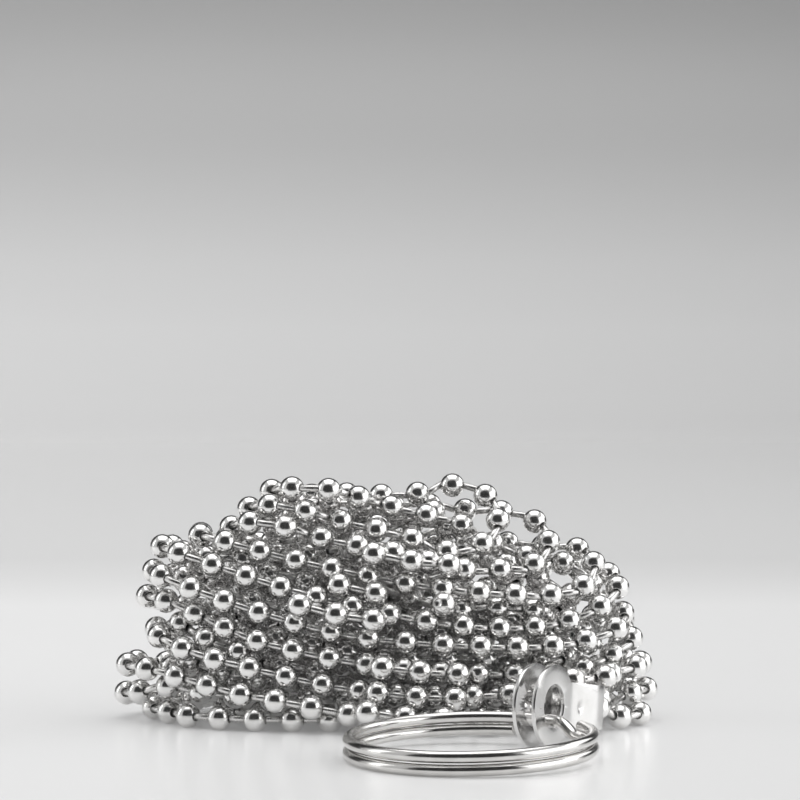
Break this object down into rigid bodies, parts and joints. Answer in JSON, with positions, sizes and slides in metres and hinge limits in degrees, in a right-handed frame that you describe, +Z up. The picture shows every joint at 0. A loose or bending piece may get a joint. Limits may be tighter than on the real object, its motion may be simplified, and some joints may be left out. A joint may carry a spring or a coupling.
{
  "type": "roller blind ball chain",
  "caption": "Ball chain for a roller blind, piled in a long heap of turns, with a folded sheet clip on its end and a split ring through the clip's eyes.",
  "frame": {"origin": "middle of the footprint of heap, clip and ring, on the surface they lie on", "axes": "+Z up; +X along the heap, towards the end where the chain leaves it; -Y towards the viewer and the split ring"},
  "size_m": [0.089, 0.0862, 0.0401],
  "materials": {
    "chain_nickel": "bright nickel plate",
    "clip_steel": "bright plated sheet steel",
    "ring_nickel": "bright nickel-plated wire"
  },
  "bodies": {
    "root": {"chain_back_01": "chain_nickel", "chain_back_02": "chain_nickel", "chain_back_03": "chain_nickel", "chain_back_04": "chain_nickel", "chain_back_05": "chain_nickel", "chain_back_06": "chain_nickel", "chain_back_07": "chain_nickel", "chain_back_08": "chain_nickel", "chain_back_09": "chain_nickel", "chain_back_10": "chain_nickel", "chain_back_11": "chain_nickel", "chain_back_12": "chain_nickel", "chain_back_13": "chain_nickel", "chain_back_14": "chain_nickel", "chain_back_15": "chain_nickel", "chain_back_16": "chain_nickel", "chain_back_17": "chain_nickel", "chain_back_18": "chain_nickel", "chain_front_01": "chain_nickel", "chain_front_02": "chain_nickel", "chain_front_03": "chain_nickel", "chain_front_04": "chain_nickel", "chain_front_05": "chain_nickel", "chain_front_06": "chain_nickel", "chain_front_07": "chain_nickel", "chain_front_08": "chain_nickel", "chain_front_09": "chain_nickel", "chain_front_10": "chain_nickel", "chain_front_11": "chain_nickel", "chain_front_12": "chain_nickel", "chain_front_13": "chain_nickel", "chain_front_14": "chain_nickel", "chain_front_15": "chain_nickel", "chain_front_16": "chain_nickel", "chain_front_17": "chain_nickel", "chain_lead": "chain_nickel", "end_clip": "clip_steel", "split_ring": "ring_nickel"}
  },
  "joints": []
}
